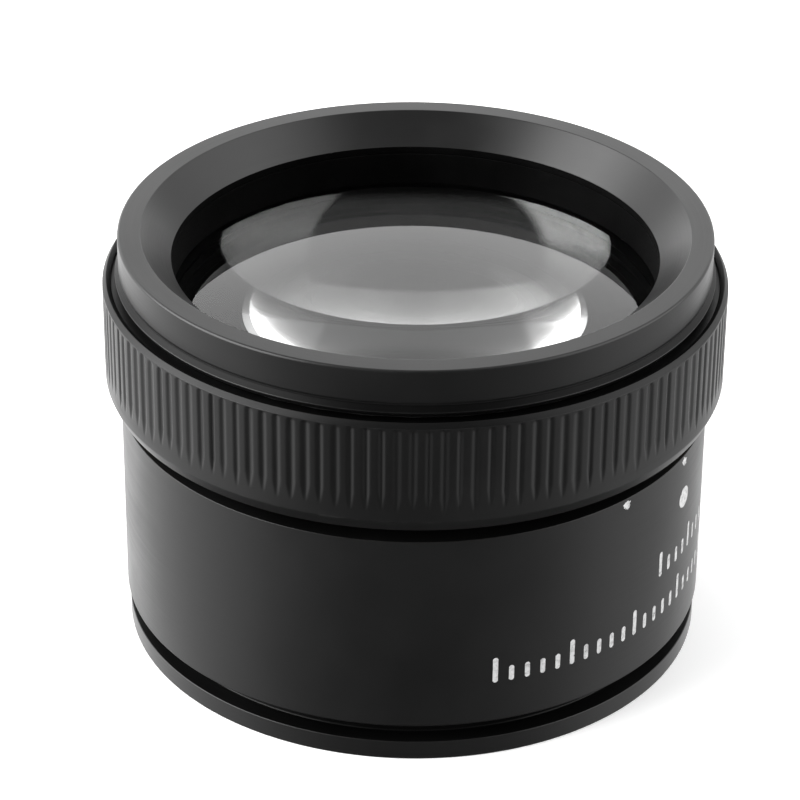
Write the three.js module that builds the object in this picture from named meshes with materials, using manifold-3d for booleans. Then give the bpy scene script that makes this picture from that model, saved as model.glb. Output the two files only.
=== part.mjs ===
// A standing viewing loupe. A knurled ring turns on a four-start thread around the barrel's neck and
// lifts or lowers the lens unit, which three guide screws keep from turning.
// Millimetres, +Z up. The origin is the centre of the foot's flat underside.
import * as THREE from "three";
import { mergeGeometries, mergeVertices } from "three/addons/utils/BufferGeometryUtils.js";
import Module from "manifold-3d";

const wasm = await Module();
wasm.setup();

// Outside of the object
const TOP_Z = 34.6; // lip of the eye bezel
const BEZEL_R = 23.5;
const BEAD_R = 23.8; // round the foot of the eye bezel
const BARREL_R = 23.6;
const RING_R = 24.8;
const FOOT_R = 23.4;
const FOOT_TOP_Z = 1.6;
const BARREL_BOTTOM_Z = 3.15;
const BARREL_TOP_Z = 20;
const RING_BOTTOM_Z = 21.5;
const RING_TOP_Z = 30.85; // rim that stands round the bezel's bead
const RING_FLOOR_Z = 30.35; // recess inside the rim
const BEZEL_BOTTOM_Z = 30.8;

// Focusing thread
const THREAD_STARTS = 4;
const THREAD_LEAD = 8; // rise in one turn
const THREAD_MINOR_R = 21.55;
const THREAD_MAJOR_R = 22.15;
const THREAD_CLEARANCE = 0.25;
const THREAD_BOTTOM_Z = 20.6;
const NECK_TOP_Z = 26.8;
const NECK_RELIEF_R = 21.45;
const THREAD_POINTS_PER_START = 8;
const THREAD_STEPS_PER_TURN = 26;

// Focusing travel of the lens unit from its rest height
const TRAVEL_DOWN = 1.4;
const TRAVEL_UP = 2.6;

// Knurled ring and its collar
const FLUTES = 134;
const FLUTE_DEPTH = 0.22;
const FLUTE_WIDTH = 0.5;
const FLUTE_BOTTOM_Z = 23.4;
const FLUTE_TOP_Z = 30.25;
const RING_BORE_R = 23.3;
const RING_LIP_R = 21.4;
const RING_RIM_R = 24.1; // inside of the rim
const WASHER_OUTER_R = 23;
const COLLAR_R = 23.2;
const COLLAR_BOTTOM_Z = 22.4;
const COLLAR_TOP_Z = 29.85;
const COLLAR_THREAD_TOP_Z = 28;
const COLLAR_RELIEF_R = 22.5;
const COLLAR_FLANGE_R = 21.05;
const COLLAR_FLANGE_BOTTOM_Z = 29.4;
const COLLAR_SCREW_R = 1;
const COLLAR_SCREW_Z = 25.6;
const COLLAR_SCREW_AZIMUTHS = [45, 135];

// Eye bezel
const COVE_R = 23.3; // groove above the bead
const LIP_INNER_R = 21.7;
const DISH_R = 19.3; // inner edge of the dish
const DISH_Z = 32.3;

// Lens unit
const TUBE_R = 20.8;
const TUBE_BORE_R = 18.9;
const TUBE_BOTTOM_Z = 13.2;
const TUBE_TOP_Z = 31.5;
const LENS_SEAT_R = 20.45; // bore above the step that the upper lens rests on
const LENS_SEAT_Z = 25.1;
const CLAMP_R = 19.25; // inner wall of the ring that holds the upper lens down
const CLAMP_OUTER_R = 20.35;
const CLIP_GROOVE_R = 20.65;
const CLIP_BOTTOM_Z = 28.45;
const CLIP_THICKNESS = 0.45;
const CLIP_OUTER_R = 21.7;
const CLIP_HALF_GAP = 11; // degrees from the middle of its opening to each end
const SPRING_INNER_R = 21;
const SPRING_OUTER_R = 22;
const SPRING_HALF_THICKNESS = 0.1;
const SPRING_WAVES = 3;
const SPRING_WAVE_HEIGHT = 0.1;
const STACK_R = 18.8; // outside of the rings below the upper lens
const UPPER_LENS = { radius: 20.4, edgeTop: 28.67, edgeBottom: 25.79, topCurve: 100, bottomCurve: 56 };
const LOWER_LENS = { radius: 14.5, edgeTop: 18.6, edgeBottom: 17.4, topCurve: 60, bottomCurve: 29 };
const FIELD_STOP_R = 13.8; // inner edge of the rings that hold the lower lens
const SPACER_BORE_R = 18.1;
const RETAINER_BORE_R = 15.2;
const RETAINER_HEIGHT = 1.5;
const NOTCH_WIDTH = 1.6;

// Guide screws and the slots they run in
const GUIDE_SCREW_R = 0.75;
const GUIDE_SCREW_Z = 22.8;
const GUIDE_AZIMUTHS = [90, 210, 330];
const SLOT_CLEARANCE = 0.1;
const HOLE_CLEARANCE = 0.12; // round every screw

// Barrel bore
const BORE_R = 21;
const BORE_MIDDLE_R = 21.2;
const BORE_MIDDLE_TOP_Z = 11;
const BORE_FOOT_R = 21.35;
const BORE_FOOT_TOP_Z = 7;
const FOOT_SLEEVE_R = 21.15;
const FOOT_SLEEVE_TOP_Z = 6.4;
const FOOT_BORE_R = 19.5;
const WAIST_R = 21.9; // groove between the foot and the barrel

// Facets round a full turn
const RING_FACETS = FLUTES / 2;
const OUTER_FACETS = 48;
const INNER_FACETS = 40;

const blackMetal = { color: 0x141416, roughness: 0.42, metalness: 0.6 };
const matteBlack = { color: 0x0b0b0c, roughness: 0.75, metalness: 0.3 };
const brass = { color: 0xb08d4a, roughness: 0.35, metalness: 1 };
const steel = { color: 0x9a9ca0, roughness: 0.3, metalness: 1 };
const polymer = { color: 0x1c1c1c, roughness: 0.6, metalness: 0 };
const glass = { color: 0xe8eef0, roughness: 0.03, metalness: 0 };

// A closed geometry as a solid that can be joined and cut.
function solid(geometry) {
  const bare = geometry.clone();
  bare.deleteAttribute("normal");
  bare.deleteAttribute("uv");
  const merged = mergeVertices(bare, 1e-4);
  return new wasm.Manifold(
    new wasm.Mesh({
      numProp: 3,
      vertProperties: merged.attributes.position.array,
      triVerts: new Uint32Array(merged.index.array),
    }),
  );
}

function geometryOf(body) {
  const mesh = body.getMesh();
  const geometry = new THREE.BufferGeometry();
  geometry.setAttribute("position", new THREE.BufferAttribute(mesh.vertProperties, 3));
  geometry.setIndex(new THREE.BufferAttribute(mesh.triVerts, 1));
  geometry.computeVertexNormals();
  return geometry;
}

function part(name, shape, finish) {
  const geometry = shape.isBufferGeometry ? shape : geometryOf(shape);
  const mesh = new THREE.Mesh(geometry, new THREE.MeshStandardMaterial(finish));
  mesh.name = name;
  return mesh;
}

// Turns a profile of [radius, z] points round Z. The profile runs outwards along the bottom, up the
// outside and back inwards along the top.
function turned(profile, facets) {
  const points = profile.map(([r, z]) => new THREE.Vector2(r, z));
  return new THREE.LatheGeometry(points, facets).rotateX(Math.PI / 2);
}

// A turned ring: its profile closes on itself.
function turnedRing(profile, facets) {
  return turned([...profile, profile[0]], facets);
}

// A straight rod of the given radius along a radial line at an azimuth in degrees.
function radialRod(radius, from, to, z, azimuth, sides = 16) {
  return new THREE.CylinderGeometry(radius, radius, to - from, sides)
    .rotateZ(-Math.PI / 2)
    .translate((from + to) / 2, 0, z)
    .rotateZ(THREE.MathUtils.degToRad(azimuth));
}

// The thread as a solid core: a section with one lobe for each start, twisted as it rises.
function threadCore(minor, major, bottom, top) {
  const outline = new THREE.Shape();
  const count = THREAD_STARTS * THREAD_POINTS_PER_START;
  for (let i = 0; i < count; i++) {
    const phase = (i % THREAD_POINTS_PER_START) / THREAD_POINTS_PER_START;
    const height = THREE.MathUtils.clamp(1.5 - Math.abs(phase * 4 - 2), 0, 1); // trapezoid tooth
    const radius = minor + (major - minor) * height;
    const angle = (i / count) * 2 * Math.PI;
    const point = [radius * Math.cos(angle), radius * Math.sin(angle)];
    if (i === 0) outline.moveTo(...point);
    else outline.lineTo(...point);
  }
  const turns = (top - bottom) / THREAD_LEAD;
  const core = new THREE.ExtrudeGeometry(outline, {
    depth: top - bottom,
    steps: Math.round(turns * THREAD_STEPS_PER_TURN),
    bevelEnabled: false,
  }).translate(0, 0, bottom);
  const position = core.attributes.position;
  const axis = new THREE.Vector3(0, 0, 1);
  const point = new THREE.Vector3();
  for (let i = 0; i < position.count; i++) {
    point.fromBufferAttribute(position, i);
    point.applyAxisAngle(axis, (2 * Math.PI * point.z) / THREAD_LEAD);
    position.setXYZ(i, point.x, point.y, point.z);
  }
  return core;
}

function barrelTube() {
  const outside = turned(
    [
      [0, BARREL_BOTTOM_Z],
      [BARREL_R - 0.2, BARREL_BOTTOM_Z],
      [BARREL_R, BARREL_BOTTOM_Z + 0.2],
      [BARREL_R, BARREL_TOP_Z - 0.25],
      [BARREL_R - 0.25, BARREL_TOP_Z],
      [NECK_RELIEF_R, BARREL_TOP_Z],
      [NECK_RELIEF_R, THREAD_BOTTOM_Z + 0.2],
      [0, THREAD_BOTTOM_Z + 0.2],
    ],
    OUTER_FACETS,
  );
  const bore = turned(
    [
      [0, BARREL_BOTTOM_Z - 1],
      [BORE_FOOT_R, BARREL_BOTTOM_Z - 1],
      [BORE_FOOT_R, BORE_FOOT_TOP_Z],
      [BORE_MIDDLE_R, BORE_FOOT_TOP_Z + 0.6],
      [BORE_MIDDLE_R, BORE_MIDDLE_TOP_Z],
      [BORE_R, BORE_MIDDLE_TOP_Z + 0.5],
      [BORE_R, NECK_TOP_Z + 1],
      [0, NECK_TOP_Z + 1],
    ],
    OUTER_FACETS,
  );
  let body = solid(outside)
    .add(solid(threadCore(THREAD_MINOR_R, THREAD_MAJOR_R, THREAD_BOTTOM_Z, NECK_TOP_Z)))
    .subtract(solid(bore));
  for (const azimuth of GUIDE_AZIMUTHS) {
    const radius = GUIDE_SCREW_R + HOLE_CLEARANCE;
    const hole = radialRod(radius, TUBE_R - 1, THREAD_MAJOR_R + 1, GUIDE_SCREW_Z, azimuth);
    body = body.subtract(solid(hole));
  }
  return body;
}

function baseRing() {
  return turnedRing(
    [
      [FOOT_BORE_R + 0.3, 0],
      [FOOT_R - 0.25, 0],
      [FOOT_R, 0.25],
      [FOOT_R, FOOT_TOP_Z - 0.25],
      [FOOT_R - 0.25, FOOT_TOP_Z],
      [WAIST_R, FOOT_TOP_Z],
      [WAIST_R, BARREL_BOTTOM_Z - 0.2],
      [FOOT_SLEEVE_R, BARREL_BOTTOM_Z - 0.2],
      [FOOT_SLEEVE_R, FOOT_SLEEVE_TOP_Z],
      [FOOT_BORE_R, FOOT_SLEEVE_TOP_Z],
      [FOOT_BORE_R, 0.3],
    ],
    OUTER_FACETS,
  );
}

// A headless screw along a radial line with a hexagon socket in its outer end.
function socketScrew(radius, from, to, z, azimuth) {
  const socket = radialRod(radius * 0.55, to - radius, to + 1, z, azimuth, 6);
  return solid(radialRod(radius, from, to, z, azimuth)).subtract(solid(socket));
}

function knurledRing() {
  const blank = turnedRing(
    [
      [RING_BORE_R, RING_BOTTOM_Z],
      [RING_R - 0.42, RING_BOTTOM_Z],
      [RING_R - 0.15, RING_BOTTOM_Z + 0.6],
      [RING_R, RING_BOTTOM_Z + 0.95],
      [RING_R, RING_TOP_Z - 0.3],
      [RING_R - 0.3, RING_TOP_Z],
      [RING_RIM_R, RING_TOP_Z],
      [RING_RIM_R, RING_FLOOR_Z],
      [RING_LIP_R, RING_FLOOR_Z],
      [RING_LIP_R, COLLAR_TOP_Z + 0.1],
      [RING_BORE_R, COLLAR_TOP_Z + 0.1],
    ],
    RING_FACETS,
  );
  const section = new THREE.Shape([
    new THREE.Vector2(RING_R - FLUTE_DEPTH, 0),
    new THREE.Vector2(RING_R + 0.1, -FLUTE_WIDTH * 0.62),
    new THREE.Vector2(RING_R + 0.1, FLUTE_WIDTH * 0.62),
  ]);
  const depth = FLUTE_TOP_Z - FLUTE_BOTTOM_Z;
  const cutter = new THREE.ExtrudeGeometry(section, { depth, bevelEnabled: false });
  cutter.translate(0, 0, FLUTE_BOTTOM_Z);
  const flutes = [];
  for (let i = 0; i < FLUTES; i++) {
    flutes.push(cutter.clone().rotateZ(((i + 0.5) / FLUTES) * 2 * Math.PI));
  }
  let body = solid(blank).subtract(solid(mergeGeometries(flutes)));
  for (const azimuth of COLLAR_SCREW_AZIMUTHS) {
    const radius = COLLAR_SCREW_R + HOLE_CLEARANCE;
    const hole = radialRod(radius, RING_BORE_R - 1, RING_R + 1, COLLAR_SCREW_Z, azimuth);
    body = body.subtract(solid(hole));
  }
  return body;
}

function threadedCollar() {
  const outside = turned(
    [
      [0, COLLAR_BOTTOM_Z],
      [COLLAR_R, COLLAR_BOTTOM_Z],
      [COLLAR_R, COLLAR_TOP_Z],
      [0, COLLAR_TOP_Z],
    ],
    INNER_FACETS,
  );
  const relief = turned(
    [
      [0, COLLAR_THREAD_TOP_Z],
      [COLLAR_RELIEF_R, COLLAR_THREAD_TOP_Z],
      [COLLAR_RELIEF_R, COLLAR_FLANGE_BOTTOM_Z],
      [COLLAR_FLANGE_R, COLLAR_FLANGE_BOTTOM_Z],
      [COLLAR_FLANGE_R, COLLAR_TOP_Z + 1],
      [0, COLLAR_TOP_Z + 1],
    ],
    INNER_FACETS,
  );
  const thread = threadCore(
    THREAD_MINOR_R + THREAD_CLEARANCE,
    THREAD_MAJOR_R + THREAD_CLEARANCE,
    COLLAR_BOTTOM_Z - 0.4,
    COLLAR_THREAD_TOP_Z + 0.4,
  );
  let body = solid(outside).subtract(solid(thread)).subtract(solid(relief));
  for (const azimuth of COLLAR_SCREW_AZIMUTHS) {
    const radius = COLLAR_SCREW_R + HOLE_CLEARANCE;
    const dimple = radialRod(radius, COLLAR_R - 0.6, COLLAR_R + 1, COLLAR_SCREW_Z, azimuth);
    body = body.subtract(solid(dimple));
  }
  return body;
}

function eyeBezel() {
  return turnedRing(
    [
      [TUBE_R + 0.15, BEZEL_BOTTOM_Z],
      [BEAD_R - 0.15, BEZEL_BOTTOM_Z],
      [BEAD_R, BEZEL_BOTTOM_Z + 0.15],
      [BEAD_R, BEZEL_BOTTOM_Z + 0.35],
      [BEAD_R - 0.15, BEZEL_BOTTOM_Z + 0.5],
      [COVE_R, BEZEL_BOTTOM_Z + 0.7],
      [COVE_R, BEZEL_BOTTOM_Z + 0.95],
      [BEZEL_R, BEZEL_BOTTOM_Z + 1.15],
      [BEZEL_R, TOP_Z - 0.25],
      [BEZEL_R - 0.25, TOP_Z],
      [LIP_INNER_R, TOP_Z],
      [DISH_R, DISH_Z],
      [DISH_R, TUBE_TOP_Z + 0.25],
      [TUBE_R + 0.15, TUBE_TOP_Z + 0.25],
    ],
    OUTER_FACETS,
  );
}

function lensTube() {
  const clipTop = CLIP_BOTTOM_Z + CLIP_THICKNESS;
  const blank = turnedRing(
    [
      [TUBE_BORE_R, TUBE_BOTTOM_Z],
      [TUBE_R, TUBE_BOTTOM_Z],
      [TUBE_R, CLIP_BOTTOM_Z - 0.05],
      [CLIP_GROOVE_R, CLIP_BOTTOM_Z - 0.05],
      [CLIP_GROOVE_R, clipTop + 0.05],
      [TUBE_R, clipTop + 0.05],
      [TUBE_R, TUBE_TOP_Z],
      [LENS_SEAT_R, TUBE_TOP_Z],
      [LENS_SEAT_R, LENS_SEAT_Z],
      [TUBE_BORE_R, LENS_SEAT_Z],
    ],
    INNER_FACETS,
  );
  const half = GUIDE_SCREW_R + SLOT_CLEARANCE;
  const bottom = GUIDE_SCREW_Z - TRAVEL_UP - half;
  const top = GUIDE_SCREW_Z + TRAVEL_DOWN + half;
  let body = solid(blank);
  for (const azimuth of GUIDE_AZIMUTHS) {
    const slot = new THREE.BoxGeometry(4, 2 * half, top - bottom)
      .translate(TUBE_R, 0, (top + bottom) / 2)
      .rotateZ(THREE.MathUtils.degToRad(azimuth));
    body = body.subtract(solid(slot));
  }
  return body;
}

// The thin sleeve that the eye bezel presses down on the upper lens.
function lensClampRing() {
  return turnedRing(
    [
      [CLAMP_R, UPPER_LENS.edgeTop + 0.28],
      [CLAMP_OUTER_R, UPPER_LENS.edgeTop + 0.06],
      [CLAMP_OUTER_R, TUBE_TOP_Z + 0.2],
      [CLAMP_R, TUBE_TOP_Z + 0.2],
    ],
    INNER_FACETS,
  );
}

// Points of a lens face from the axis to the edge. A positive rise makes the face bulge upwards.
function lensFace(radius, curve, edgeZ, rise, steps) {
  const points = [];
  const centre = Math.sqrt(curve ** 2 - radius ** 2);
  const sweep = Math.asin(radius / curve);
  for (let i = 0; i <= steps; i++) {
    const angle = (sweep * i) / steps;
    points.push([curve * Math.sin(angle), edgeZ + rise * (curve * Math.cos(angle) - centre)]);
  }
  return points;
}

function lens({ radius, edgeTop, edgeBottom, topCurve, bottomCurve }) {
  const under = lensFace(radius, bottomCurve, edgeBottom, -1, 5);
  const over = lensFace(radius, topCurve, edgeTop, 1, 3);
  return turned([...under, ...over.reverse()], INNER_FACETS);
}

function lensSpacer() {
  const bottom = LOWER_LENS.edgeTop + 0.6;
  return turnedRing(
    [
      [FIELD_STOP_R, bottom],
      [STACK_R, bottom],
      [STACK_R, LENS_SEAT_Z - 0.15],
      [SPACER_BORE_R, LENS_SEAT_Z - 0.55],
      [SPACER_BORE_R, bottom + 3.5],
      [FIELD_STOP_R, bottom + 0.8],
    ],
    INNER_FACETS,
  );
}

function lowerLensCell() {
  const seat = LOWER_LENS.edgeBottom;
  return turnedRing(
    [
      [FIELD_STOP_R, seat - 1.5],
      [STACK_R, seat - 1.5],
      [STACK_R, LOWER_LENS.edgeTop + 0.3],
      [LOWER_LENS.radius + 0.1, LOWER_LENS.edgeTop + 0.3],
      [LOWER_LENS.radius + 0.1, seat - 0.2],
      [FIELD_STOP_R, seat - 0.6],
    ],
    INNER_FACETS,
  );
}

// The threaded ring under the lens stack, with two notches for a spanner.
function lensRetainingRing() {
  const top = LOWER_LENS.edgeBottom - 1.7;
  const bottom = top - RETAINER_HEIGHT;
  const blank = turnedRing(
    [
      [RETAINER_BORE_R, bottom],
      [STACK_R, bottom],
      [STACK_R, top],
      [RETAINER_BORE_R, top],
    ],
    INNER_FACETS,
  );
  const notch = new THREE.BoxGeometry(2 * STACK_R + 2, NOTCH_WIDTH, NOTCH_WIDTH).translate(0, 0, bottom);
  return solid(blank).subtract(solid(notch));
}

// The snap ring: an open ring whose ends stand apart.
function retainingClip() {
  const inner = CLIP_GROOVE_R + 0.1;
  const end = THREE.MathUtils.degToRad(CLIP_HALF_GAP);
  const outline = new THREE.Shape();
  outline.absarc(0, 0, CLIP_OUTER_R, end, 2 * Math.PI - end, false);
  outline.absarc(0, 0, inner, 2 * Math.PI - end, end, true);
  const clip = new THREE.ExtrudeGeometry(outline, {
    depth: CLIP_THICKNESS,
    curveSegments: 36,
    bevelEnabled: false,
  });
  return clip.translate(0, 0, CLIP_BOTTOM_Z);
}

// A thin ring with waves round it.
function waveSpring() {
  const middle = (CLIP_BOTTOM_Z + CLIP_THICKNESS + COLLAR_FLANGE_BOTTOM_Z) / 2;
  const ring = turnedRing(
    [
      [SPRING_INNER_R, middle - SPRING_HALF_THICKNESS],
      [SPRING_OUTER_R, middle - SPRING_HALF_THICKNESS],
      [SPRING_OUTER_R, middle + SPRING_HALF_THICKNESS],
      [SPRING_INNER_R, middle + SPRING_HALF_THICKNESS],
    ],
    INNER_FACETS,
  );
  const position = ring.attributes.position;
  for (let i = 0; i < position.count; i++) {
    const angle = Math.atan2(position.getY(i), position.getX(i));
    position.setZ(i, position.getZ(i) + SPRING_WAVE_HEIGHT * Math.cos(SPRING_WAVES * angle));
  }
  return ring;
}

function slipWasher() {
  return turnedRing(
    [
      [RING_LIP_R + 0.1, RING_FLOOR_Z + 0.08],
      [WASHER_OUTER_R, RING_FLOOR_Z + 0.08],
      [WASHER_OUTER_R, BEZEL_BOTTOM_Z - 0.08],
      [RING_LIP_R + 0.1, BEZEL_BOTTOM_Z - 0.08],
    ],
    INNER_FACETS,
  );
}

const barrel = new THREE.Group();
barrel.add(part("barrel_tube", barrelTube(), blackMetal));
barrel.add(part("base_ring", baseRing(), blackMetal));
GUIDE_AZIMUTHS.forEach((azimuth, i) => {
  const screw = socketScrew(GUIDE_SCREW_R, TUBE_BORE_R + 0.25, NECK_RELIEF_R, GUIDE_SCREW_Z, azimuth);
  barrel.add(part(`guide_screw_${i + 1}`, screw, steel));
});

const lensUnit = new THREE.Group();
lensUnit.add(part("eye_bezel", eyeBezel(), blackMetal));
lensUnit.add(part("lens_tube", lensTube(), matteBlack));
lensUnit.add(part("upper_lens", lens(UPPER_LENS), glass));
lensUnit.add(part("lens_clamp_ring", lensClampRing(), matteBlack));
lensUnit.add(part("lens_spacer", lensSpacer(), matteBlack));
lensUnit.add(part("lower_lens", lens(LOWER_LENS), glass));
lensUnit.add(part("lower_lens_cell", lowerLensCell(), matteBlack));
lensUnit.add(part("lens_retaining_ring", lensRetainingRing(), matteBlack));
lensUnit.add(part("retaining_clip", retainingClip(), steel));
lensUnit.add(part("wave_spring", waveSpring(), steel));
lensUnit.add(part("slip_washer", slipWasher(), polymer));

const focusRing = new THREE.Group();
focusRing.add(part("knurled_ring", knurledRing(), blackMetal));
focusRing.add(part("threaded_collar", threadedCollar(), brass));
COLLAR_SCREW_AZIMUTHS.forEach((azimuth, i) => {
  const screw = socketScrew(COLLAR_SCREW_R, COLLAR_R - 0.5, RING_R - 0.5, COLLAR_SCREW_Z, azimuth);
  focusRing.add(part(`collar_screw_${i + 1}`, screw, steel));
});

const loupe = new THREE.Group();
loupe.add(barrel, lensUnit, focusRing);

export default loupe;
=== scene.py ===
"""The looks of a standing viewing loupe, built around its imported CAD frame."""
import math

import bpy
import numpy as np
from mathutils import Matrix, Vector


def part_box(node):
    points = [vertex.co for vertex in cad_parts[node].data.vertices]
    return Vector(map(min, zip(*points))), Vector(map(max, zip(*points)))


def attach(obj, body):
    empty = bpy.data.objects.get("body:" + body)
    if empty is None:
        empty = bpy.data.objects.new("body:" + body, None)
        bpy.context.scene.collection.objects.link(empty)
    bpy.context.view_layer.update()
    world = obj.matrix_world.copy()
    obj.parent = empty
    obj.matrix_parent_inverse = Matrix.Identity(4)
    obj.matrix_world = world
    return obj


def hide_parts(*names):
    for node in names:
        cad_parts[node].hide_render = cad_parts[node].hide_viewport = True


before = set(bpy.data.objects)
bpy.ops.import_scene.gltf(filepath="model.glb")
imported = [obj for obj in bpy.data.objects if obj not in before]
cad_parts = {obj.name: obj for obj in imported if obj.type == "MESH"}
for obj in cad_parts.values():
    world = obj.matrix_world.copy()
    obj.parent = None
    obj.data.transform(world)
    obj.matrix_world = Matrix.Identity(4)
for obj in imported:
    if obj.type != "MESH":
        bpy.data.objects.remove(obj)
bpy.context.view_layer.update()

MM = 0.001  # outlines are written in millimetres, and meshes are in metres

# ---------------------------------------------------------------- sizes, in millimetres

AROUND = 288  # steps round a turned piece
FILLET_STEPS = 5


class Extent:
    """The outer radius, bottom and top of a CAD node, in millimetres."""

    def __init__(self, node):
        low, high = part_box(node)
        self.radius = high.x / MM
        self.bottom = low.z / MM
        self.top = high.z / MM


BEZEL = Extent("eye_bezel")
BARREL = Extent("barrel_tube")
FOOT = Extent("base_ring")
RING = Extent("knurled_ring")
COLLAR = Extent("threaded_collar")
TUBE = Extent("lens_tube")
SPACER = Extent("lens_spacer")
CELL = Extent("lower_lens_cell")
RETAINER = Extent("lens_retaining_ring")
CLIP = Extent("retaining_clip")
CLAMP = Extent("lens_clamp_ring")
UPPER_LENS = Extent("upper_lens")
LOWER_LENS = Extent("lower_lens")

LIP_INNER_R = 21.7
DISH_R = 19.3  # inner edge of the dish
DISH_Z = 32.3
TUBE_BORE_R = 18.9
LENS_SEAT_R = 20.45
LENS_SEAT_Z = 25.1
BARREL_BOTTOM_Z = BARREL.bottom
BARREL_TOP_Z = 20.0
FOOT_TOP_Z = 1.6
BORE_R = 21.0
BORE_MIDDLE_R = 21.2
BORE_FOOT_R = 21.35
BORE_STEP_Z = 11.0
BORE_FOOT_TOP_Z = 7.0
WAIST_R = 21.9
BEAD_STEP = 0.3  # the bezel's bead stands out this far from its wall
COVE_R = 23.43
COVE_HEIGHT = 0.9  # above the bezel's underside
COVE_TOP_Z = BEZEL.bottom + 0.95
RING_BORE_R = 23.3
RING_LIP_R = 21.4
RING_RIM_R = 24.1
RING_FLOOR_Z = 30.35
COLLAR_FLANGE_R = 21.05
COLLAR_RELIEF_R = 22.5
COLLAR_RELIEF_Z = (28.1, 29.4)
FOOT_SLEEVE_R = 21.15
FOOT_BORE_R = 19.5
FIELD_STOP_R = 13.8
SPACER_BORE_R = 18.1
RETAINER_BORE_R = 15.2
NOTCH_HALF_WIDTH = 0.8
NOTCH_DEPTH = 0.8
NOTCH_EDGE = 0.3  # the underside's points lie this near to it
CLAMP_R = 19.25

THREAD_STARTS = 4
THREAD_LEAD = 8.0
THREAD_MINOR_R = 21.55
THREAD_MAJOR_R = 22.15
THREAD_CLEARANCE = 0.25
THREAD_BOTTOM_Z = 20.6
THREAD_ROW = 0.1  # height of a mesh row on the thread

FLUTES = 134
STEPS_PER_FLUTE = 12
FLUTE_DEPTH = 0.125
FLUTE_WIDTH = 0.64  # as a share of the pitch
FLUTE_RUN_OUT = 1.3  # height over which a flute tapers away at its lower end
FLUTE_BOTTOM_Z = 23.4
FLUTE_TOP_Z = 30.36

SCALES = ((16, 6.8, 21, 5), (56, 10.6, 9, 4))  # start in degrees, height, ticks, ticks to a long one
LONG_TICK = 2.25
SHORT_TICK = 1.35
TICK_WIDTH = 0.42
TICK_STEP = 3.2  # degrees
DOT = (65, 16, 0.9)  # degrees, height, radius
DABS = ((44.2, 3), (64.3, 5))  # degrees and random seed
DAB_R = 0.38
DAB_DROP = 0.57  # below the barrel's top edge
MARK_PROUD = 0.012
MARK_DEPTH = 0.06

LENS_BEVEL = 0.04
UPPER_CURVES = {"top": 100.0, "bottom": 56.0, "edge_top": 28.67, "edge_bottom": 25.79}
LOWER_CURVES = {"top": 60.0, "bottom": 29.0, "edge_top": 18.6, "edge_bottom": 17.4}

# ---------------------------------------------------------------- meshes


def rounded(corners, steps=FILLET_STEPS):
    """A closed outline of [radius, height] points from (radius, height, fillet) corners.

    It comes with an edge weight for each point: 1 in the middle of a fillet on a convex corner."""
    points = []
    weights = []
    count = len(corners)
    flat = np.array([c[:2] for c in corners], float)
    for i, (_, _, fillet) in enumerate(corners):
        here = flat[i]
        back = flat[i - 1] - here
        ahead = flat[(i + 1) % count] - here
        back_length = np.linalg.norm(back)
        ahead_length = np.linalg.norm(ahead)
        back /= back_length
        ahead /= ahead_length
        half = 0.5 * math.acos(float(np.clip(back @ ahead, -1, 1)))
        if fillet <= 0 or half > math.radians(88):
            points.append(here)
            weights.append(0.0)
            continue
        run = min(fillet / math.tan(half), 0.48 * back_length, 0.48 * ahead_length)
        radius = run * math.tan(half)
        middle = here + (back + ahead) / np.linalg.norm(back + ahead) * radius / math.sin(half)
        start = here + back * run - middle
        end = here + ahead * run - middle
        first = math.atan2(start[1], start[0])
        sweep = math.atan2(end[1], end[0]) - first
        sweep = (sweep + math.pi) % (2 * math.pi) - math.pi
        convex = float(np.cross(-back, ahead)) > 0
        for k in range(steps + 1):
            angle = first + sweep * k / steps
            points.append(middle + radius * np.array([math.cos(angle), math.sin(angle)]))
            weights.append(math.sin(math.pi * k / steps) if convex else 0.0)
    return np.array(points), np.array(weights)


def mesh_object(name, vertices, faces, weights=None):
    """A smooth shaded object from millimetre vertices, with its edge weights as an attribute."""
    mesh = bpy.data.meshes.new(name)
    mesh.from_pydata((np.asarray(vertices) * MM).tolist(), [], faces)
    mesh.validate()
    edge = mesh.attributes.new("edge", "FLOAT", "POINT")
    if weights is not None:
        edge.data.foreach_set("value", np.asarray(weights, np.float32))
    mesh.shade_smooth()
    mesh.set_sharp_from_angle(angle=math.radians(38))
    obj = bpy.data.objects.new(name, mesh)
    bpy.context.scene.collection.objects.link(obj)
    return obj


def grid_faces(rows, columns, closed_rows):
    """Quads of a grid whose columns close round, and whose rows close too if asked."""
    faces = []
    for i in range(rows if closed_rows else rows - 1):
        here = i * columns
        there = (i + 1) % rows * columns
        for j in range(columns):
            beside = (j + 1) % columns
            faces.append((here + j, here + beside, there + beside, there + j))
    return faces


def revolve(name, outline, weights=None, around=AROUND, relief=None):
    """Turns a closed outline round Z. relief(radius, height, azimuth) may change the radii."""
    azimuth = np.arange(around) * 2 * math.pi / around
    radius = np.repeat(outline[:, :1], around, axis=1)
    height = np.repeat(outline[:, 1:], around, axis=1)
    turn = np.repeat(azimuth[None, :], len(outline), axis=0)
    if relief is not None:
        radius = relief(radius, height, turn)
    vertices = np.stack([radius * np.cos(turn), radius * np.sin(turn), height], axis=-1).reshape(-1, 3)
    spread = None if weights is None else np.repeat(weights, around)
    obj = mesh_object(name, vertices, grid_faces(len(outline), around, True), spread)
    steady = obj.modifiers.new("steady_normals", "WEIGHTED_NORMAL")
    steady.keep_sharp = True
    return obj


def turned(name, corners, **options):
    """A turned ring from its corners: outwards along the bottom, up the outside, inwards on top."""
    outline, weights = rounded(corners)
    return revolve(name, outline, weights, **options)


def lens_face(radius, curve, edge_z, rise, steps=28):
    """Points of a lens face from near the axis to its edge."""
    sweep = math.asin(radius / curve)
    centre = math.sqrt(curve**2 - radius**2)
    angles = np.linspace(0, sweep, steps + 1)
    return [(curve * math.sin(a), edge_z + rise * (curve * math.cos(a) - centre)) for a in angles]


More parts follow.
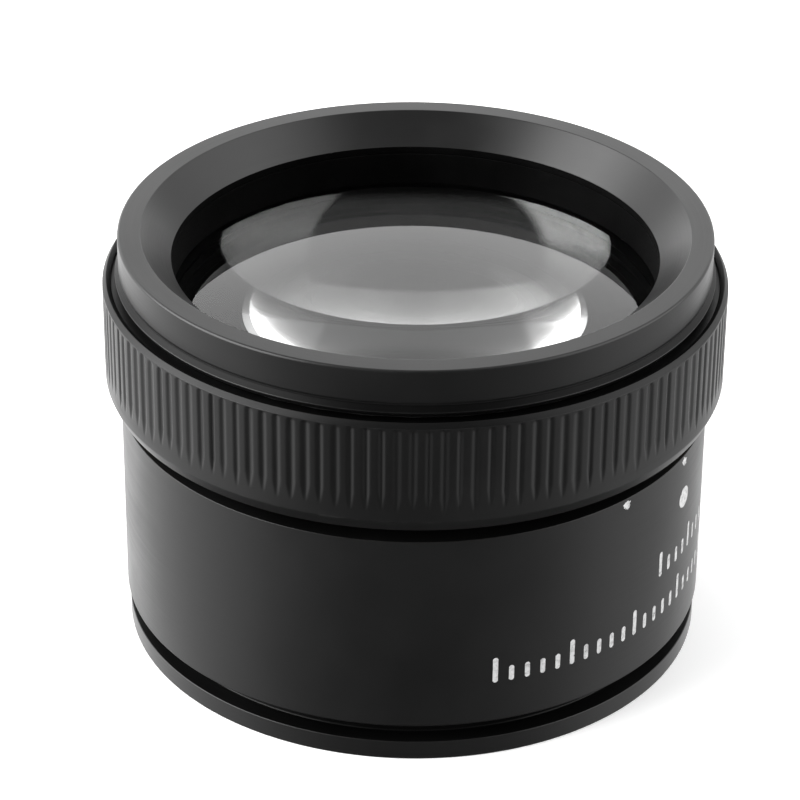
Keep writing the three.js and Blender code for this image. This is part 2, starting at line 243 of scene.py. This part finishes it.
def lens(name, extent, curves):
    """A lens with a ground rim, as a solid of glass."""
    rim = extent.radius
    bevel = LENS_BEVEL
    under = lens_face(rim - bevel, curves["bottom"], curves["edge_bottom"] - 0.01, -1)
    over = lens_face(rim - bevel, curves["top"], curves["edge_top"] + 0.01, 1)
    profile = under + [(rim, curves["edge_bottom"] + bevel), (rim, curves["edge_top"] - bevel)] + over[::-1]
    inner = np.array(profile[1:-1])
    azimuth = np.arange(AROUND) * 2 * math.pi / AROUND
    ring = np.stack([np.cos(azimuth), np.sin(azimuth)], axis=-1)
    rows = [np.c_[ring * r, np.full(AROUND, z)] for r, z in inner]
    vertices = np.concatenate(rows + [[[0, 0, profile[0][1]]], [[0, 0, profile[-1][1]]]])
    faces = grid_faces(len(inner), AROUND, False)
    bottom_centre = len(vertices) - 2
    top_centre = len(vertices) - 1
    last = (len(inner) - 1) * AROUND
    for j in range(AROUND):
        beside = (j + 1) % AROUND
        faces.append((bottom_centre, beside, j))
        faces.append((top_centre, last + j, last + beside))
    return mesh_object(name, vertices, faces)


def thread_height(height, azimuth):
    """How far the focusing thread stands out, from 0 at its root to 1 on its crest."""
    phase = (THREAD_STARTS * (azimuth / (2 * math.pi) - height / THREAD_LEAD)) % 1.0
    return np.clip(1.5 - np.abs(phase * 4 - 2), 0, 1)


def threaded(extra, low, high):
    """A relief that cuts the focusing thread into the radii between two heights."""
    minor = THREAD_MINOR_R + extra
    major = THREAD_MAJOR_R + extra

    def relief(radius, height, azimuth):
        on_thread = (np.abs(radius - minor) < 0.01) & (height > low) & (height < high)
        fade = np.clip(np.minimum(height - low, high - height) / 0.3, 0, 1)
        return np.where(on_thread, minor + (major - minor) * thread_height(height, azimuth) * fade, radius)

    return relief


def thread_rows(radius, low, high):
    """Corners up or down a threaded wall, one for each mesh row."""
    count = int(abs(high - low) / THREAD_ROW)
    return [(radius, z, 0) for z in np.linspace(low, high, count)]


def barrel():
    outer = BARREL.radius
    corners = [
        (BORE_FOOT_R, BARREL_BOTTOM_Z, 0.1),
        (outer, BARREL_BOTTOM_Z, 0.2),
        (outer, BARREL_TOP_Z, 0.05),
        (THREAD_MINOR_R, BARREL_TOP_Z, 0.1),
        *thread_rows(THREAD_MINOR_R, BARREL_TOP_Z + 0.5, BARREL.top - 0.2),
        (BORE_R + 0.45, BARREL.top, 0.08),
        (BORE_R, BARREL.top, 0.1),
        (BORE_R, BORE_STEP_Z + 0.5, 0.1),
        (BORE_MIDDLE_R, BORE_STEP_Z, 0.1),
        (BORE_MIDDLE_R, BORE_FOOT_TOP_Z + 0.6, 0.1),
        (BORE_FOOT_R, BORE_FOOT_TOP_Z, 0.1),
    ]
    relief = threaded(0, THREAD_BOTTOM_Z - 0.2, BARREL.top)
    return turned("barrel", corners, around=360, relief=relief)


def foot():
    shoulder = BARREL_BOTTOM_Z - 0.2
    return turned(
        "foot_ring",
        [
            (FOOT_BORE_R, 0, 0.3),
            (FOOT.radius, 0, 0.1),
            (FOOT.radius, FOOT_TOP_Z, 0.07),
            (WAIST_R, FOOT_TOP_Z, 0.15),
            (WAIST_R, shoulder, 0.05),
            (FOOT_SLEEVE_R, shoulder, 0.05),
            (FOOT_SLEEVE_R, FOOT.top, 0.3),
            (FOOT_BORE_R, FOOT.top, 0.2),
        ],
    )


def bezel():
    bead = BEZEL.radius
    outer = bead - BEAD_STEP
    low = BEZEL.bottom
    bore = TUBE.radius + 0.15
    roof = TUBE.top + 0.25
    return turned(
        "eye_bezel_ring",
        [
            (bore, low, 0.05),
            (bead - 0.28, low, 0.1),
            (bead, low + 0.42, 0.1),
            (COVE_R, low + COVE_HEIGHT, 0.3),
            (outer, low + 1.15, 0.4),
            (outer, BEZEL.top, 0.22),
            (LIP_INNER_R, BEZEL.top, 0.12),
            (DISH_R, DISH_Z, 0.06),
            (DISH_R, roof, 0.03),
            (bore, roof, 0.05),
        ],
    )


def knurl(radius, height, azimuth):
    """Cuts the flutes: narrow valleys that taper away downwards, each a little different."""
    seeds = np.random.default_rng(7).uniform(-1, 1, (FLUTES, 5))
    turn = azimuth / (2 * math.pi) * FLUTES
    index = np.floor(turn).astype(int) % FLUTES
    middle = 0.5 + 0.05 * seeds[index, 0]
    half_width = FLUTE_WIDTH / 2 * (1 + 0.28 * seeds[index, 1])
    low = FLUTE_BOTTOM_Z + 0.25 * seeds[index, 2]
    high = FLUTE_TOP_Z + 0.06 * seeds[index, 3]
    taper = np.clip((height - low) / FLUTE_RUN_OUT, 0, 1) * np.clip((high - height) / 0.2, 0, 1)
    across = np.abs(turn % 1.0 - middle) / (half_width * (0.35 + 0.65 * taper))
    valley = 0.5 + 0.5 * np.cos(np.pi * np.clip(across, 0, 1))
    depth = FLUTE_DEPTH * (1 + 0.2 * seeds[index, 4]) * taper**0.7
    on_grip = radius > RING.radius - 0.12
    return np.where(on_grip, radius - depth * valley, radius)


def knurled_ring():
    outer = RING.radius
    shelf = COLLAR.top + 0.1
    tapering = np.linspace(FLUTE_BOTTOM_Z - 0.25, FLUTE_BOTTOM_Z + 1.5, 12)
    straight = np.linspace(FLUTE_BOTTOM_Z + 2.2, FLUTE_TOP_Z - 0.3, 7)
    grip = [(outer, z, 0) for z in (*tapering, *straight, FLUTE_TOP_Z - 0.15, FLUTE_TOP_Z - 0.03)]
    corners = [
        (RING_BORE_R, RING.bottom, 0),
        (outer - 0.42, RING.bottom, 0.1),
        (outer - 0.15, RING.bottom + 0.6, 0.2),
        (outer, RING.bottom + 0.95, 0.6),
        *grip,
        (outer, RING.top - 0.42, 0.25),
        (outer - 0.3, RING.top, 0.04),
        (RING_RIM_R, RING.top - 0.25, 0.05),
        (RING_RIM_R, RING_FLOOR_Z, 0),
        (RING_LIP_R, RING_FLOOR_Z, 0),
        (RING_LIP_R, shelf, 0),
        (RING_BORE_R, shelf, 0),
    ]
    outline, weights = rounded(corners, steps=4)
    return revolve("focus_grip", outline, weights, around=FLUTES * STEPS_PER_FLUTE, relief=knurl)


def collar():
    relief_low, relief_high = COLLAR_RELIEF_Z
    relief = threaded(THREAD_CLEARANCE, COLLAR.bottom - 0.3, relief_low + 0.2)
    corners = [
        (COLLAR.radius, COLLAR.bottom, 0.12),
        (COLLAR.radius, COLLAR.top, 0.12),
        (COLLAR_FLANGE_R, COLLAR.top, 0.08),
        (COLLAR_FLANGE_R, relief_high, 0.08),
        (COLLAR_RELIEF_R, relief_high, 0.05),
        (COLLAR_RELIEF_R, relief_low, 0.05),
        *thread_rows(THREAD_MINOR_R + THREAD_CLEARANCE, relief_low - 0.1, COLLAR.bottom),
    ]
    return turned("focus_collar", corners, around=360, relief=relief)


def lens_tube():
    groove_low = CLIP.bottom - 0.05
    groove_high = CLIP.top + 0.05
    return turned(
        "lens_barrel",
        [
            (TUBE_BORE_R, TUBE.bottom, 0.15),
            (TUBE.radius, TUBE.bottom, 0.15),
            (TUBE.radius, groove_low, 0.03),
            (TUBE.radius - 0.17, groove_low, 0.03),
            (TUBE.radius - 0.17, groove_high, 0.03),
            (TUBE.radius, groove_high, 0.03),
            (TUBE.radius, TUBE.top, 0.1),
            (LENS_SEAT_R, TUBE.top, 0.08),
            (LENS_SEAT_R, LENS_SEAT_Z, 0.04),
            (TUBE_BORE_R, LENS_SEAT_Z, 0.03),
        ],
    )


def clamp_ring():
    return turned(
        "lens_clamp",
        [
            (CLAMP_R, CLAMP.bottom + 0.22, 0.02),
            (CLAMP.radius, CLAMP.bottom, 0.02),
            (CLAMP.radius, CLAMP.top, 0.05),
            (CLAMP_R, CLAMP.top, 0.08),
        ],
    )


def spacer():
    return turned(
        "spacer_ring",
        [
            (FIELD_STOP_R, SPACER.bottom, 0.05),
            (SPACER.radius, SPACER.bottom, 0.1),
            (SPACER.radius, SPACER.top, 0.05),
            (SPACER_BORE_R, SPACER.top - 0.4, 0.05),
            (SPACER_BORE_R, SPACER.bottom + 3.5, 0.3),
            (FIELD_STOP_R, SPACER.bottom + 0.8, 0.08),
        ],
    )


def cell():
    seat = LOWER_CURVES["edge_bottom"]
    bore = LOWER_LENS.radius + 0.1
    return turned(
        "lens_cell",
        [
            (FIELD_STOP_R, CELL.bottom, 0.2),
            (CELL.radius, CELL.bottom, 0.1),
            (CELL.radius, CELL.top, 0.1),
            (bore, CELL.top, 0.1),
            (bore, seat - 0.2, 0.03),
            (FIELD_STOP_R, seat - 0.6, 0.05),
        ],
    )


def retainer():
    """The lens retaining ring, with two spanner notches in its underside."""
    obj = turned(
        "retaining_ring",
        [
            (RETAINER_BORE_R, RETAINER.bottom, 0.15),
            (RETAINER.radius, RETAINER.bottom, 0.12),
            (RETAINER.radius, RETAINER.top, 0.1),
            (RETAINER_BORE_R, RETAINER.top, 0.1),
        ],
    )
    for vertex in obj.data.vertices:
        _, y, z = vertex.co / MM
        if abs(y) < NOTCH_HALF_WIDTH and z < RETAINER.bottom + NOTCH_EDGE:
            vertex.co.z += NOTCH_DEPTH * MM
    return obj


def inlay(name, outlines):
    """Closed plates bent round the barrel, from outlines of (degrees from the front, height) points."""
    skin = BARREL.radius + MARK_PROUD
    root = BARREL.radius - MARK_DEPTH
    vertices = []
    faces = []
    for outline in outlines:
        points = np.array(outline)
        points = np.vstack([points, points.mean(axis=0)])
        angle = np.radians(points[:, 0] - 90)
        first = len(vertices)
        for radius in (skin, root):
            vertices.extend(np.stack([radius * np.cos(angle), radius * np.sin(angle), points[:, 1]], axis=1))
        count = len(outline)
        under = first + count + 1
        for i in range(count):
            beside = (i + 1) % count
            faces.append((first + i, first + beside, first + count))
            faces.append((under + beside, under + i, under + count))
            faces.append((first + beside, first + i, under + i, under + beside))
    return mesh_object(name, vertices, faces)


def bar_outline(azimuth, low, high, width):
    """A straight tick with rounded ends, anticlockwise."""
    half = math.degrees(width / 2 / BARREL.radius)
    cut = 0.3 * width
    side = 0.4 * half
    return [
        (azimuth - side, low), (azimuth + side, low), (azimuth + half, low + cut),
        (azimuth + half, high - cut), (azimuth + side, high), (azimuth - side, high),
        (azimuth - half, high - cut), (azimuth - half, low + cut),
    ]


def blob_outline(azimuth, middle, radius, unevenness=0.0, seed=0):
    """A round dot, or an uneven dab."""
    bumps = np.random.default_rng(seed).uniform(-unevenness, unevenness, 32)
    points = []
    for i in range(32):
        turn = 2 * math.pi * i / 32
        reach = radius * (1 + 0.5 * (bumps[i] + bumps[i - 1]))
        points.append((azimuth + math.degrees(reach * math.cos(turn) / BARREL.radius),
                       middle + reach * math.sin(turn)))
    return points


def focus_scale():
    """Plain filled marks: a long scale, a short one above its end, a dot, and two dabs on the edge."""
    outlines = []
    for start, low, count, every in SCALES:
        for i in range(count):
            length = LONG_TICK if i % every == 0 else SHORT_TICK
            outlines.append(bar_outline(start + TICK_STEP * i, low, low + length, TICK_WIDTH))
    outlines.append(blob_outline(*DOT))
    for azimuth, seed in DABS:
        outlines.append(blob_outline(azimuth, BARREL_TOP_Z - DAB_DROP, DAB_R, 0.45, seed))
    return inlay("scale_marks", outlines)


# ---------------------------------------------------------------- materials


class Graph:
    """A short way to build a node tree."""

    def __init__(self, tree):
        self.tree = tree
        tree.nodes.clear()

    def node(self, kind, inputs=None, **settings):
        made = self.tree.nodes.new(kind)
        for key, value in settings.items():
            setattr(made, key, value)
        for key, value in (inputs or {}).items():
            if isinstance(value, bpy.types.NodeSocket):
                self.tree.links.new(value, made.inputs[key])
            else:
                made.inputs[key].default_value = value
        return made

    def math(self, operation, a, b=0.0):
        return self.node("ShaderNodeMath", {0: a, 1: b}, operation=operation).outputs[0]

    def ramp(self, value, low, high, to_low=0.0, to_high=1.0):
        inputs = {"Value": value, "From Min": low, "From Max": high, "To Min": to_low, "To Max": to_high}
        return self.node("ShaderNodeMapRange", inputs, interpolation_type="SMOOTHSTEP").outputs["Result"]

    def noise(self, vector, scale, detail=2.0, roughness=0.5):
        inputs = {"Vector": vector, "Scale": scale, "Detail": detail, "Roughness": roughness}
        return self.node("ShaderNodeTexNoise", inputs).outputs["Fac"]

    def mix(self, factor, a, b):
        made = self.node("ShaderNodeMix", data_type="RGBA")
        for socket, value in zip((made.inputs[0], made.inputs[6], made.inputs[7]), (factor, a, b)):
            if isinstance(value, bpy.types.NodeSocket):
                self.tree.links.new(value, socket)
            else:
                socket.default_value = value
        return made.outputs[2]

    def object_point(self):
        return self.node("ShaderNodeTexCoord").outputs["Object"]

    def turned_point(self, point):
        """Radius, height and a little of the direction: noise on it makes lines that run round."""
        parts = self.node("ShaderNodeSeparateXYZ", {0: point}).outputs
        squares = self.math("ADD", self.math("MULTIPLY", parts[0], parts[0]),
                            self.math("MULTIPLY", parts[1], parts[1]))
        radius = self.math("SQRT", squares)
        drift = self.math("MULTIPLY", self.math("DIVIDE", parts[0], radius), 0.0002)
        sway = self.math("MULTIPLY", self.math("DIVIDE", parts[1], radius), 0.0002)
        return self.node("ShaderNodeCombineXYZ", {0: self.math("ADD", radius, drift),
                                                  1: self.math("ADD", parts[2], sway), 2: 0.0}).outputs[0]

    def bump(self, height, distance, strength=1.0, normal=None):
        inputs = {"Height": height, "Distance": distance, "Strength": strength}
        if normal is not None:
            inputs["Normal"] = normal
        return self.node("ShaderNodeBump", inputs).outputs["Normal"]


def material(name, recipe, **settings):
    made = bpy.data.materials.new(name)
    made.use_nodes = True
    graph = Graph(made.node_tree)
    shader = graph.node("ShaderNodeBsdfPrincipled", recipe(graph, **settings))
    graph.node("ShaderNodeOutputMaterial", {"Surface": shader.outputs[0]})
    return made


def grey(value, warmth=0.0):
    return (value * (1 + warmth), value, value * (1 - warmth), 1)


TURNING_STRENGTH = 0.35


def anodised(graph, shade=0.004, rough=0.36, wear=0.03, ior=1.42):
    """Satin black anodised aluminium: blasted grain, faint turning lines, rubbed edges."""
    point = graph.object_point()
    grain = graph.noise(point, 14000, 2.0, 0.6)
    turning = graph.noise(graph.turned_point(point), 9000, 3.0, 0.6)
    patches = graph.noise(point, 90, 4.0, 0.55)
    scuffs = graph.noise(point, 900, 4.0, 0.6)
    edge = graph.node("ShaderNodeAttribute", attribute_name="edge").outputs["Fac"]
    rubbed = graph.math("MULTIPLY", graph.math("MULTIPLY", edge, graph.ramp(scuffs, 0.48, 0.72)), wear)
    colour = graph.mix(graph.ramp(patches, 0.3, 0.7), grey(shade * 0.8), grey(shade * 1.25))
    colour = graph.mix(rubbed, colour, grey(0.16, 0.02))
    roughness = graph.math("ADD", graph.ramp(patches, 0.25, 0.75, rough - 0.04, rough + 0.05),
                           graph.ramp(turning, 0.3, 0.7, -0.02, 0.03))
    bumped = graph.bump(grain, 0.0000016)
    bumped = graph.bump(turning, 0.0000012, TURNING_STRENGTH, bumped)
    return {"Base Color": colour, "Roughness": roughness, "Normal": bumped, "IOR": ior}


def matte_lining_and_shade(graph, shade=0.002):
    """Flat anti-reflection black, also laid on the barrel's neck as painted shade."""
    point = graph.object_point()
    speckle = graph.noise(point, 7000, 3.0, 0.7)
    patches = graph.noise(point, 160, 3.0)
    colour = graph.mix(graph.ramp(patches, 0.3, 0.7), grey(shade * 0.7), grey(shade * 1.5))
    roughness = graph.ramp(speckle, 0.2, 0.8, 0.7, 0.95)
    return {"Base Color": colour, "Roughness": roughness, "Specular IOR Level": 0.03,
            "Normal": graph.bump(speckle, 0.000006)}


def glass(graph, index=1.52):
    """Polished glass with the faintest haze of wiping marks. A low index stands in for a coating."""
    point = graph.object_point()
    haze = graph.noise(point, 260, 5.0, 0.6)
    return {"Base Color": (0.985, 0.99, 0.985, 1), "Roughness": graph.ramp(haze, 0.6, 0.9, 0.0, 0.006),
            "Transmission Weight": 1.0, "IOR": index}


def turned_metal(graph, colour=(0.5, 0.5, 0.52), rough=0.28):
    """Bare turned metal with lines round it and a slight tarnish."""
    point = graph.object_point()
    turning = graph.noise(graph.turned_point(point), 12000, 3.0, 0.65)
    tarnish = graph.noise(point, 320, 4.0, 0.6)
    dull = tuple(c * 0.6 for c in colour) + (1,)
    mixed = graph.mix(graph.ramp(tarnish, 0.35, 0.75), colour + (1,), dull)
    roughness = graph.ramp(tarnish, 0.3, 0.8, rough, rough + 0.2)
    return {"Base Color": mixed, "Metallic": 1.0, "Roughness": roughness,
            "Normal": graph.bump(turning, 0.000002, 0.6)}


def polymer(graph, shade=0.03):
    point = graph.object_point()
    mottle = graph.noise(point, 1500, 3.0)
    return {"Base Color": graph.mix(mottle, grey(shade * 0.8), grey(shade * 1.3)),
            "Roughness": graph.ramp(mottle, 0.3, 0.7, 0.45, 0.6), "Normal": graph.bump(mottle, 0.000004)}


def mark_paint(graph):
    """White filling paint: a little uneven and chalky, with flecks where it has come away."""
    point = graph.object_point()
    wear = graph.noise(point, 2600, 4.0, 0.7)
    flecks = graph.noise(point, 1300, 5.0, 0.75)
    paint = graph.mix(graph.ramp(wear, 0.4, 0.7), grey(0.5), grey(0.3))
    return {"Base Color": graph.mix(graph.ramp(flecks, 0.6, 0.68), paint, grey(0.02)),
            "Roughness": graph.ramp(wear, 0.3, 0.7, 0.5, 0.7), "Normal": graph.bump(wear, 0.00001)}


def floor_surface(graph):
    point = graph.object_point()
    mottle = graph.noise(point, 40, 3.0)
    return {"Base Color": graph.mix(mottle, grey(0.9), grey(0.94)), "Roughness": 0.8,
            "Specular IOR Level": 0.2, "Emission Color": grey(1.0), "Emission Strength": 0.25}


# ---------------------------------------------------------------- camera, light and stage


def camera():
    """Looks down at about thirty degrees from in front, through a long lens."""
    pitch, pan, roll = 0.518, -0.0047, 0.009
    ahead = Vector((math.sin(pan) * math.cos(pitch), math.cos(pan) * math.cos(pitch), -math.sin(pitch)))
    right = Vector((math.cos(pan), -math.sin(pan), 0))
    up = right.cross(ahead)
    right, up = (math.cos(roll) * right + math.sin(roll) * up, math.cos(roll) * up - math.sin(roll) * right)
    data = bpy.data.cameras.new("camera")
    data.lens = 153
    data.sensor_width = 36
    data.clip_start = 0.01
    obj = bpy.data.objects.new("camera", data)
    obj.matrix_world = Matrix((
        (right.x, up.x, -ahead.x, 0.0),
        (right.y, up.y, -ahead.y, -0.2395),
        (right.z, up.z, -ahead.z, 0.1553),
        (0, 0, 0, 1),
    ))
    bpy.context.scene.collection.objects.link(obj)
    bpy.context.scene.camera = obj


SKY_PEAK = 8.5  # the brightest panel; levels are worked out as shares of it


def levels_around(graph, azimuth, peak, stops):
    """Brightness round the horizon from (degrees from the back, level) stops, as a share of the peak."""
    node = graph.node("ShaderNodeValToRGB", {0: azimuth})
    ramp = node.color_ramp
    ramp.interpolation = "EASE"
    while len(ramp.elements) < len(stops):
        ramp.elements.new(0.5)
    for element, (degrees, level) in zip(ramp.elements, stops):
        element.position = degrees / 360
        element.color = grey(level / peak)
    return node.outputs["Color"]


def sky():
    """A light tent: white panels behind and at the sides, an open dark roof, and the dark room in front.

    Directions count from the back, over the left and the front to the right."""
    world = bpy.data.worlds.new("studio")
    bpy.context.scene.world = world
    world.use_nodes = True
    graph = Graph(world.node_tree)
    direction = graph.node("ShaderNodeTexCoord").outputs["Generated"]
    x, y, z = graph.node("ShaderNodeSeparateXYZ", {0: direction}).outputs
    turn = graph.math("DIVIDE", graph.math("ARCTAN2", x, graph.math("MULTIPLY", y, -1)), 2 * math.pi)
    azimuth = graph.math("ADD", turn, 0.5)
    peak = SKY_PEAK
    panels = levels_around(graph, azimuth, peak, [
        (0, 1.7), (13, 2.1), (28, 2.9), (44, 1.3), (60, 2.6), (76, 8.5), (120, 8.5), (140, 0.15),
        (220, 0.1), (240, 2.7), (283, 3.4), (302, 1.7), (317, 1.0), (333, 1.9), (347, 2.1), (360, 1.7),
    ])
    table = levels_around(graph, azimuth, peak, [
        (0, 1.6), (30, 2.3), (60, 1.65), (100, 1.25), (135, 0.5), (165, 0.17), (195, 0.17), (227, 0.45),
        (262, 1.05), (300, 0.9), (330, 1.4), (360, 1.6),
    ])
    height = graph.math("MAXIMUM", z, 0.001)
    along = graph.math("DIVIDE", y, height)
    across = graph.math("DIVIDE", x, height)
    lean = graph.math("MULTIPLY", along, 0.165)
    roof = graph.math("MULTIPLY", graph.ramp(graph.math("SUBTRACT", across, lean), 0.57, 0.5),
                      graph.ramp(graph.math("ADD", across, lean), -0.82, -0.64))
    roof = graph.math("MULTIPLY", roof, graph.ramp(along, 1.15, 1.0))
    roof = graph.math("MULTIPLY", roof, graph.ramp(z, 0.0, 0.1))
    dark = graph.mix(graph.ramp(along, -0.45, -0.15), grey(0.05 / peak), grey(0.8 / peak))
    near = graph.mix(graph.ramp(z, -0.82, -0.62), grey(0.1 / peak), table)
    colour = graph.mix(graph.ramp(z, -0.06, 0.06), near, panels)
    colour = graph.mix(roof, colour, dark)
    seen = graph.node("ShaderNodeLightPath").outputs["Is Camera Ray"]
    colour = graph.mix(seen, colour, grey(1.0 / peak))
    background = graph.node("ShaderNodeBackground", {"Color": colour, "Strength": peak})
    graph.node("ShaderNodeOutputWorld", {"Surface": background.outputs[0]})


def stage():
    mesh = bpy.data.meshes.new("floor")
    reach = 2.0
    mesh.from_pydata([(-reach, -reach, 0), (reach, -reach, 0), (reach, reach, 0), (-reach, reach, 0)],
                     [], [(0, 1, 2, 3)])
    floor = bpy.data.objects.new("floor", mesh)
    floor.location.z = -0.02 * MM
    floor.visible_glossy = False  # shiny faces show the tent's own table instead
    mesh.materials.append(material("pale_floor", floor_surface))
    bpy.context.scene.collection.objects.link(floor)


# ---------------------------------------------------------------- the object


def place(obj, body, slot, finish, *nodes):
    """Puts a piece on its body in place of its CAD nodes, with its finish."""
    obj.data.materials.clear()
    obj.data.materials.append(finish)
    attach(obj, body)
    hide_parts(*nodes)


def another_finish(obj, finish, chosen):
    """Gives the faces whose middle radius and height pass a test another finish; some of these are darker
    copies that paint in shade.
    """
    index = len(obj.data.materials)
    obj.data.materials.append(finish)
    for face in obj.data.polygons:
        x, y, z = face.center / MM
        if chosen(math.hypot(x, y), z):
            face.material_index = index


# The bore and the underside are lined; the threaded neck above the barrel's top, seen in the gap under the
# grip, takes the lining as painted shade.
def lined_bore_and_shaded_neck(radius, height):
    neck_or_underside = height > BARREL_TOP_Z + 0.01 or height < BARREL_BOTTOM_Z + 0.02
    return neck_or_underside or radius < BORE_FOOT_R + 0.05


# Faces of the bezel's cove and flare under its wall, which get painted shade.
def shaded_cove_faces(radius, height):
    return radius < BEZEL.radius - 0.13 and BEZEL.bottom + 0.3 < height < COVE_TOP_Z


def refinish(node, finish):
    """Gives a CAD node that stays its detailed material."""
    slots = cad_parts[node].data.materials
    slots.clear()
    slots.append(finish)


bpy.context.scene.view_settings.view_transform = "Standard"
camera()
sky()
stage()

black_body = material("black_body", anodised)
black_bezel = material("black_bezel", anodised, rough=0.34)
black_grip = material("black_grip", anodised, wear=0.05)
# Painted shade: a darker, less reflective copy of the anodised finish for the foot's waist and the grip's
# rim and shoulder, which lie in shadow.
recess_painted_shade = material("recess_painted_shade", anodised, shade=0.0015, rough=0.42, wear=0.0, ior=1.3)
# Painted shade: a darker copy with a low index, so the cove reflects less, as if shadowed.
cove_painted_shade = material("cove_painted_shade", anodised, shade=0.0015, rough=0.42, wear=0.0, ior=1.19)
lining_and_shade_black = material("matte_lining_and_shade", matte_lining_and_shade)
lens_glass = material("lens_glass", glass)
coated_glass = material("coated_glass", glass, index=1.15)
steel = material("screw_steel", turned_metal, colour=(0.3, 0.3, 0.31))
brass = material("collar_brass", turned_metal, colour=(0.55, 0.38, 0.16))
washer_finish = material("washer_polymer", polymer)

body = barrel()
place(body, "barrel", "black_body", black_body, "barrel_tube")
# Painted shade: black lining on the neck in the gap under the grip.
another_finish(body, lining_and_shade_black, lined_bore_and_shaded_neck)
base = foot()
place(base, "barrel", "black_body", black_body, "base_ring")
# Painted shade: the foot's waist and top face, shadowed under the barrel, take the darker copy.
another_finish(base, recess_painted_shade, lambda r, z: z > FOOT_TOP_Z - 0.01 and r < FOOT.radius - 0.15)
eye_ring = bezel()
place(eye_ring, "lens_unit", "black_bezel", black_bezel, "eye_bezel")
another_finish(eye_ring, lining_and_shade_black, lambda r, z: r < DISH_R + 0.02)
# Painted shade in the bezel's cove.
another_finish(eye_ring, cove_painted_shade, shaded_cove_faces)
grip = knurled_ring()
place(grip, "focus_ring", "black_ring", black_grip, "knurled_ring")
# Painted shade: the grip's rim recess, floor and shoulder take the darker copy; its bore and underside are
# hidden.
another_finish(grip, recess_painted_shade, lambda r, z: r < RING.radius - 0.32 or z > FLUTE_TOP_Z + 0.08)
place(collar(), "focus_ring", "collar_brass", brass, "threaded_collar")
place(lens_tube(), "lens_unit", "matte_black", lining_and_shade_black, "lens_tube")
place(clamp_ring(), "lens_unit", "matte_black", lining_and_shade_black, "lens_clamp_ring")
place(spacer(), "lens_unit", "matte_black", lining_and_shade_black, "lens_spacer")
place(cell(), "lens_unit", "matte_black", lining_and_shade_black, "lower_lens_cell")
place(retainer(), "lens_unit", "matte_black", lining_and_shade_black, "lens_retaining_ring")
upper = lens("top_glass", UPPER_LENS, UPPER_CURVES)
place(upper, "lens_unit", "lens_glass", lens_glass, "upper_lens")
another_finish(upper, lining_and_shade_black, lambda r, z: r > UPPER_LENS.radius - LENS_BEVEL)
lower = lens("bottom_glass", LOWER_LENS, LOWER_CURVES)
place(lower, "lens_unit", "lens_glass", coated_glass, "lower_lens")
another_finish(lower, lining_and_shade_black, lambda r, z: r > LOWER_LENS.radius - LENS_BEVEL)
marks = focus_scale()
marks.data.materials.append(material("mark_paint", mark_paint))
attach(marks, "barrel")
for node in ("guide_screw_1", "guide_screw_2", "guide_screw_3", "collar_screw_1", "collar_screw_2",
             "retaining_clip", "wave_spring"):
    refinish(node, steel)
refinish("slip_washer", washer_finish)
